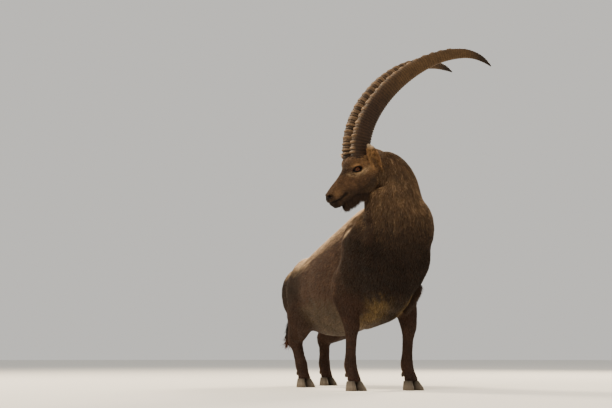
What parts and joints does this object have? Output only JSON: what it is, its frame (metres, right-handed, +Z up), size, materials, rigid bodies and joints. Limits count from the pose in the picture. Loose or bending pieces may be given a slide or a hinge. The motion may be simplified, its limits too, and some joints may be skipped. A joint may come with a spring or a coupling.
{
  "type": "alpine ibex",
  "caption": "Life-size standing male alpine ibex with long ridged horns, head turned over its right shoulder, for display.",
  "frame": {"origin": "on the floor under the middle of the whole model's box, horns included", "axes": "+Z up, the chest faces -Y, the animal's left side is +X and the head looks towards -X"},
  "size_m": [0.7992, 1.2208, 1.5828],
  "materials": {
    "coat": "short dense brown summer coat, darker on legs, chest and muzzle, paler on belly and back edge",
    "horn": "weathered brown horn sheath with rough ridges",
    "hoof": "worn grey horn of the hooves",
    "eye": "clear wet eye over a brown iris"
  },
  "bodies": {
    "root": {"ear_left": "coat", "ear_right": "coat", "eye_left": "eye", "eye_right": "eye", "foreleg_left": "coat", "foreleg_right": "coat", "head": "coat", "hindfoot_left": "coat", "hindfoot_right": "coat", "hoof_fore_left": "hoof", "hoof_fore_right": "hoof", "hoof_hind_left": "hoof", "hoof_hind_right": "hoof", "horn_left": "horn", "horn_right": "horn", "neck": "coat", "shank_left": "coat", "shank_right": "coat", "tail": "coat", "thigh_left": "coat", "thigh_right": "coat", "torso": "coat"}
  },
  "joints": []
}
